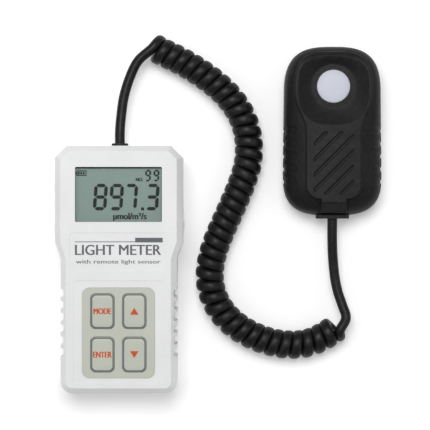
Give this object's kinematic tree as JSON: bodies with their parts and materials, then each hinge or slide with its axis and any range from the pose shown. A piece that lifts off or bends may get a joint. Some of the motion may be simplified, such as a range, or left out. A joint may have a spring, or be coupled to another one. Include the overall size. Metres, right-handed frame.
{
  "type": "light meter",
  "caption": "Hand-held light meter with display and keypad, and a remote sensor head with a domed diffuser on a curly cord",
  "frame": {"origin": "centre of the meter case's back face, on the surface the object lies on", "axes": "+X to the right of the display, towards the sensor head; +Y from the grip to the cord exit; +Z out of the display"},
  "size_m": [0.17, 0.187, 0.0307],
  "materials": {
    "case_white": "fine spark-eroded grain, satin",
    "window_clear": "clear acrylic, polished",
    "lcd": "grey-green reflective display film behind glass",
    "frame_white": "moulded",
    "contact_rubber": "moulded silicone",
    "circuit_board": "green solder mask",
    "chip_black": "moulded epoxy",
    "bare_steel": "plated",
    "capacitor_sleeve": "shrink sleeve",
    "switch_grey": "moulded",
    "overlay_beige": "textured polyester overlay",
    "key_beige": "textured, printed outline and legend",
    "knob_white": "moulded, ribbed for the thumb",
    "battery_case": "printed tinplate can",
    "snap_black": "vinyl",
    "lead_red": "insulated wire",
    "grommet_black": "moulded, satin",
    "cord_black": "glossy flexible jacket",
    "tie_white": "nylon",
    "wire_yellow": "insulated wire",
    "socket_white": "nylon",
    "sensor_black": "fine grain, satin",
    "diffuser_white": "frosted opal plastic",
    "seal_rubber": "silicone",
    "filter_glass": "coloured filter glass",
    "holder_black": "moulded",
    "gilt_can": "gold-plated can",
    "screw_dark": "black oxide"
  },
  "bodies": {
    "meter": {"front_cover": "case_white", "rear_cover": "case_white", "window_pane": "window_clear", "lcd_glass": "lcd", "lcd_frame": "frame_white", "lcd_contacts": "contact_rubber", "main_board": "circuit_board", "microcontroller": "chip_black", "amplifier_chip": "chip_black", "crystal": "bare_steel", "capacitor": "capacitor_sleeve", "key_switches": "switch_grey", "keypad_overlay": "overlay_beige", "power_switch": "switch_grey", "battery": "battery_case", "battery_snap": "snap_black", "battery_leads": "lead_red", "case_screws": "bare_steel", "board_screws": "bare_steel", "cord_grommet": "grommet_black", "meter_cord_tail": "cord_black", "meter_cable_tie": "tie_white", "meter_wires": "wire_yellow", "cord_socket": "socket_white", "cord_meter_lead": "cord_black", "cord_curl": "cord_black", "cord_sensor_lead": "cord_black"},
    "key_mode": {"key_mode": "key_beige"},
    "key_up": {"key_up": "key_beige"},
    "key_enter": {"key_enter": "key_beige"},
    "key_down": {"key_down": "key_beige"},
    "power_knob": {"power_knob": "knob_white"},
    "battery_door": {"battery_door": "case_white"},
    "sensor_head": {"sensor_front_cover": "sensor_black", "sensor_rear_cover": "sensor_black", "diffuser": "diffuser_white", "diffuser_seal": "seal_rubber", "filter_glass": "filter_glass", "filter_holder": "holder_black", "photodiode": "gilt_can", "sensor_board": "circuit_board", "sensor_chip": "chip_black", "sensor_screws": "screw_dark", "sensor_board_screws": "bare_steel", "sensor_gland": "grommet_black", "sensor_cord_tail": "cord_black", "sensor_cable_tie": "tie_white", "sensor_wires": "wire_yellow"}
  },
  "joints": [
    {"name": "key_mode_press", "type": "slide", "parent": "meter", "child": "key_mode", "axis": [0, 0, -1], "range_m": [0, 0.0005], "stiffness_N_per_m": 1500},
    {"name": "key_up_press", "type": "slide", "parent": "meter", "child": "key_up", "axis": [0, 0, -1], "range_m": [0, 0.0005], "stiffness_N_per_m": 1500},
    {"name": "key_enter_press", "type": "slide", "parent": "meter", "child": "key_enter", "axis": [0, 0, -1], "range_m": [0, 0.0005], "stiffness_N_per_m": 1500},
    {"name": "key_down_press", "type": "slide", "parent": "meter", "child": "key_down", "axis": [0, 0, -1], "range_m": [0, 0.0005], "stiffness_N_per_m": 1500},
    {"name": "power_slide", "type": "slide", "parent": "meter", "child": "power_knob", "axis": [0, 1, 0], "range_m": [0, 0.005]},
    {"name": "battery_door_slide", "type": "slide", "parent": "meter", "child": "battery_door", "axis": [0, -1, 0], "range_m": [0, 0.062]},
    {"name": "sensor_head_away", "type": "slide", "parent": "meter", "child": "sensor_head", "axis": [1, 0, 0], "range_m": [0, 0.25], "stiffness_N_per_m": 4, "deforming": ["cord_meter_lead", "cord_curl", "cord_sensor_lead"]}
  ]
}
